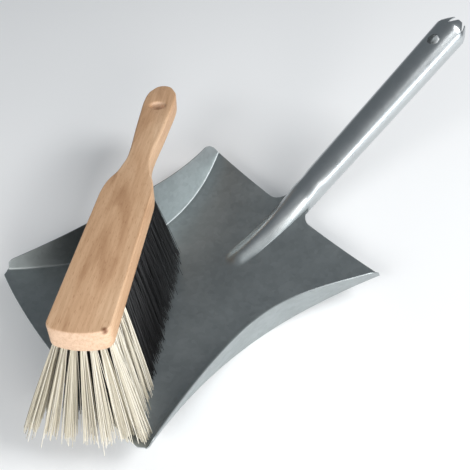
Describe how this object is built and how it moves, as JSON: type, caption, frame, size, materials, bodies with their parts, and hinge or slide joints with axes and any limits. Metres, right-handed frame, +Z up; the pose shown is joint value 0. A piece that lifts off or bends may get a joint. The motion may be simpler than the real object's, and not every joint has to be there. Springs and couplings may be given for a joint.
{
  "type": "dust pan and brush set",
  "caption": "Pressed steel dust pan with dished floor, curved side walls and rolled tube handle, with a wooden hand brush with light and dark tufts standing in it.",
  "frame": {"origin": "bottom centre of the whole set's box, on the surface that the pan stands on", "axes": "+Y runs from the pan's front lip back along its handle, +X is the pan's right side seen from behind the lip looking along +Y, +Z is up"},
  "size_m": [0.2636, 0.4525, 0.131],
  "materials": {
    "galvanised_pan": "hot-dip galvanised sheet, soft grey reflections with a fine spangle",
    "galvanised_handle": "rolled galvanised sheet, smoother and brighter than the pan",
    "beech_wood": "raw sanded beech, fine flecks, satin",
    "anchor_steel": "bright flat wire",
    "white_bristle": "off-white fibre, slightly glossy strands",
    "black_bristle": "black hair, slightly glossy strands"
  },
  "bodies": {
    "pan": {"pan_sheet": "galvanised_pan", "handle_tube": "galvanised_handle"},
    "brush": {"black_tuft_row_01": "black_bristle", "black_tuft_row_02": "black_bristle", "black_tuft_row_03": "black_bristle", "black_tuft_row_04": "black_bristle", "black_tuft_row_05": "black_bristle", "black_tuft_row_06": "black_bristle", "black_tuft_row_07": "black_bristle", "black_tuft_row_08": "black_bristle", "black_tuft_row_09": "black_bristle", "black_tuft_row_10": "black_bristle", "black_tuft_row_11": "black_bristle", "black_tuft_row_12": "black_bristle", "black_tuft_row_13": "black_bristle", "black_tuft_row_14": "black_bristle", "black_tuft_row_15": "black_bristle", "black_tuft_row_16": "black_bristle", "black_tuft_row_17": "black_bristle", "brush_block": "beech_wood", "tuft_anchors": "anchor_steel", "white_head_tufts": "white_bristle", "white_left_tufts": "white_bristle", "white_right_tufts": "white_bristle"}
  },
  "joints": [
    {"name": "brush_lift", "type": "slide", "parent": "pan", "child": "brush", "axis": [0, 0, 1], "range_m": [0, 0.22]}
  ]
}
